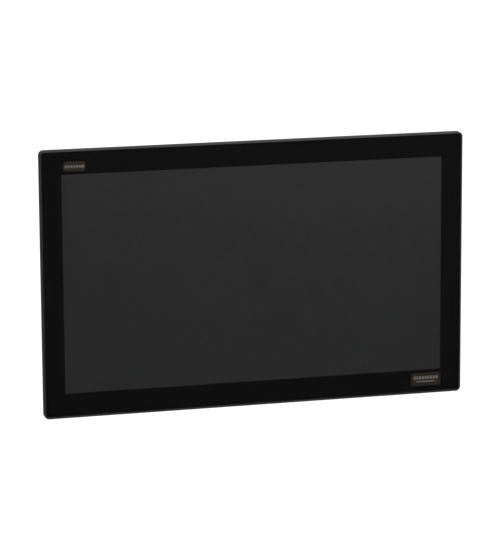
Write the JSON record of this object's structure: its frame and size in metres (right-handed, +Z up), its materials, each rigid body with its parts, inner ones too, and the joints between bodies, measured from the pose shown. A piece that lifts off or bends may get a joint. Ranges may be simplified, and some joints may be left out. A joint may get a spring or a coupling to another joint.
{
  "type": "panel-mount touch panel",
  "caption": "Panel-mount industrial touch panel: flat black glass front in a chamfered frame, swing-out rear clamps, finned electronics box, port plate and hinged service door.",
  "frame": {"origin": "centre of the panel cut-out, on the plane where the gasket seats on the cabinet door", "axes": "+X along the width, to the right of someone facing the glass; +Y into the cabinet, away from the glass; +Z up"},
  "size_m": [0.529, 0.0768, 0.328],
  "materials": {
    "cover_glass": "polished, anti-glare",
    "border_print": "black ink",
    "badge": "satin, dark brown-grey",
    "foam_tape": "foam",
    "touch_sensor": "clear",
    "optical_bond": "clear gel",
    "front_bezel": "satin black powder coat on aluminium",
    "gasket": "closed-cell foam",
    "lcd_frame": "blackened",
    "lcd_cell": "matt front polariser",
    "backlight_sheets": "diffusing white",
    "light_guide": "clear acrylic",
    "led_bar": "white board with yellow emitters",
    "lcd_mid_frame": "moulded",
    "lcd_back_tray": "zinc plated",
    "support_rails": "zinc plated",
    "screws": "zinc plated",
    "rear_housing": "zinc-coated sheet",
    "circuit_board": "solder mask",
    "touch_flex": "polyimide",
    "display_cable": "flat cable",
    "board_parts": "moulded",
    "heat_spreader": "milled",
    "standoffs": "plated",
    "electronics_cover": "satin dark grey on die-cast aluminium",
    "io_plate": "plain sheet",
    "socket_shells": "nickel plated",
    "terminal_green": "moulded",
    "status_leds": "translucent",
    "backup_battery": "stainless",
    "storage_card": "moulded",
    "service_door": "fine texture",
    "reset_button": "moulded",
    "clamp_arms": "plated zinc casting",
    "clamp_screws": "black oxide"
  },
  "bodies": {
    "panel": {"cover_glass": "cover_glass", "border_print": "border_print", "upper_badge": "badge", "lower_badge": "badge", "glass_tape": "foam_tape", "touch_sensor": "touch_sensor", "optical_bond": "optical_bond", "front_bezel": "front_bezel", "panel_gasket": "gasket", "lcd_frame": "lcd_frame", "lcd_cell": "lcd_cell", "backlight_sheets": "backlight_sheets", "light_guide": "light_guide", "led_bar": "led_bar", "lcd_mid_frame": "lcd_mid_frame", "lcd_back_tray": "lcd_back_tray", "support_rails": "support_rails", "rail_pads": "foam_tape", "inner_screws": "screws", "rear_housing": "rear_housing", "housing_screws": "screws", "clamp_pivots": "screws", "touch_controller": "circuit_board", "touch_flex": "touch_flex", "display_cable": "display_cable", "main_board": "circuit_board", "board_parts": "board_parts", "heat_spreader": "heat_spreader", "board_standoffs": "standoffs", "electronics_cover": "electronics_cover", "case_screws": "screws", "io_plate": "io_plate", "data_sockets": "socket_shells", "serial_socket": "socket_shells", "power_header": "terminal_green", "status_leds": "status_leds", "card_slot": "socket_shells", "backup_battery": "backup_battery", "door_pin": "screws"},
    "clamp_arm_1": {"clamp_arm_1": "clamp_arms"},
    "clamp_arm_2": {"clamp_arm_2": "clamp_arms"},
    "clamp_arm_3": {"clamp_arm_3": "clamp_arms"},
    "clamp_arm_4": {"clamp_arm_4": "clamp_arms"},
    "clamp_arm_5": {"clamp_arm_5": "clamp_arms"},
    "clamp_arm_6": {"clamp_arm_6": "clamp_arms"},
    "clamp_arm_7": {"clamp_arm_7": "clamp_arms"},
    "clamp_arm_8": {"clamp_arm_8": "clamp_arms"},
    "clamp_screw_1": {"clamp_screw_1": "clamp_screws"},
    "clamp_screw_2": {"clamp_screw_2": "clamp_screws"},
    "clamp_screw_3": {"clamp_screw_3": "clamp_screws"},
    "clamp_screw_4": {"clamp_screw_4": "clamp_screws"},
    "clamp_screw_5": {"clamp_screw_5": "clamp_screws"},
    "clamp_screw_6": {"clamp_screw_6": "clamp_screws"},
    "clamp_screw_7": {"clamp_screw_7": "clamp_screws"},
    "clamp_screw_8": {"clamp_screw_8": "clamp_screws"},
    "service_door": {"service_door": "service_door"},
    "storage_card": {"storage_card": "storage_card"},
    "power_plug": {"power_plug": "terminal_green", "plug_screws": "screws"},
    "reset_button": {"reset_button": "reset_button"}
  },
  "joints": [
    {"name": "clamp_swing_1", "type": "hinge", "parent": "panel", "child": "clamp_arm_1", "pos_m": [-0.19225, 0.0132, 0.14615], "axis": [0, -1, 0], "range_deg": [0, 66.4]},
    {"name": "clamp_advance_1", "type": "slide", "parent": "clamp_arm_1", "child": "clamp_screw_1", "axis": [0, -1, 0], "range_m": [0, 0.006]},
    {"name": "clamp_swing_2", "type": "hinge", "parent": "panel", "child": "clamp_arm_2", "pos_m": [0, 0.0132, 0.14615], "axis": [0, -1, 0], "range_deg": [0, 66.4]},
    {"name": "clamp_advance_2", "type": "slide", "parent": "clamp_arm_2", "child": "clamp_screw_2", "axis": [0, -1, 0], "range_m": [0, 0.006]},
    {"name": "clamp_swing_3", "type": "hinge", "parent": "panel", "child": "clamp_arm_3", "pos_m": [0.19225, 0.0132, 0.14615], "axis": [0, -1, 0], "range_deg": [0, 66.4]},
    {"name": "clamp_advance_3", "type": "slide", "parent": "clamp_arm_3", "child": "clamp_screw_3", "axis": [0, -1, 0], "range_m": [0, 0.006]},
    {"name": "clamp_swing_4", "type": "hinge", "parent": "panel", "child": "clamp_arm_4", "pos_m": [0.24665, 0.0132, 0], "axis": [0, -1, 0], "range_deg": [0, 66.4]},
    {"name": "clamp_advance_4", "type": "slide", "parent": "clamp_arm_4", "child": "clamp_screw_4", "axis": [0, -1, 0], "range_m": [0, 0.006]},
    {"name": "clamp_swing_5", "type": "hinge", "parent": "panel", "child": "clamp_arm_5", "pos_m": [0.19225, 0.0132, -0.14615], "axis": [0, -1, 0], "range_deg": [0, 66.4]},
    {"name": "clamp_advance_5", "type": "slide", "parent": "clamp_arm_5", "child": "clamp_screw_5", "axis": [0, -1, 0], "range_m": [0, 0.006]},
    {"name": "clamp_swing_6", "type": "hinge", "parent": "panel", "child": "clamp_arm_6", "pos_m": [0, 0.0132, -0.14615], "axis": [0, -1, 0], "range_deg": [0, 66.4]},
    {"name": "clamp_advance_6", "type": "slide", "parent": "clamp_arm_6", "child": "clamp_screw_6", "axis": [0, -1, 0], "range_m": [0, 0.006]},
    {"name": "clamp_swing_7", "type": "hinge", "parent": "panel", "child": "clamp_arm_7", "pos_m": [-0.19225, 0.0132, -0.14615], "axis": [0, -1, 0], "range_deg": [0, 66.4]},
    {"name": "clamp_advance_7", "type": "slide", "parent": "clamp_arm_7", "child": "clamp_screw_7", "axis": [0, -1, 0], "range_m": [0, 0.006]},
    {"name": "clamp_swing_8", "type": "hinge", "parent": "panel", "child": "clamp_arm_8", "pos_m": [-0.24665, 0.0132, 0], "axis": [0, -1, 0], "range_deg": [0, 66.4]},
    {"name": "clamp_advance_8", "type": "slide", "parent": "clamp_arm_8", "child": "clamp_screw_8", "axis": [0, -1, 0], "range_m": [0, 0.006]},
    {"name": "door_hinge", "type": "hinge", "parent": "panel", "child": "service_door", "pos_m": [-0.092, 0.0602, -0.0218], "axis": [1, 0, 0], "range_deg": [0, 105]},
    {"name": "card_slide", "type": "slide", "parent": "panel", "child": "storage_card", "axis": [0, 0, -1], "range_m": [0, 0.014]},
    {"name": "plug_slide", "type": "slide", "parent": "panel", "child": "power_plug", "axis": [0, 0, -1], "range_m": [0, 0.012]},
    {"name": "reset_press", "type": "slide", "parent": "panel", "child": "reset_button", "axis": [0, 0, 1], "range_m": [0, 0.0008], "stiffness_N_per_m": 800}
  ]
}
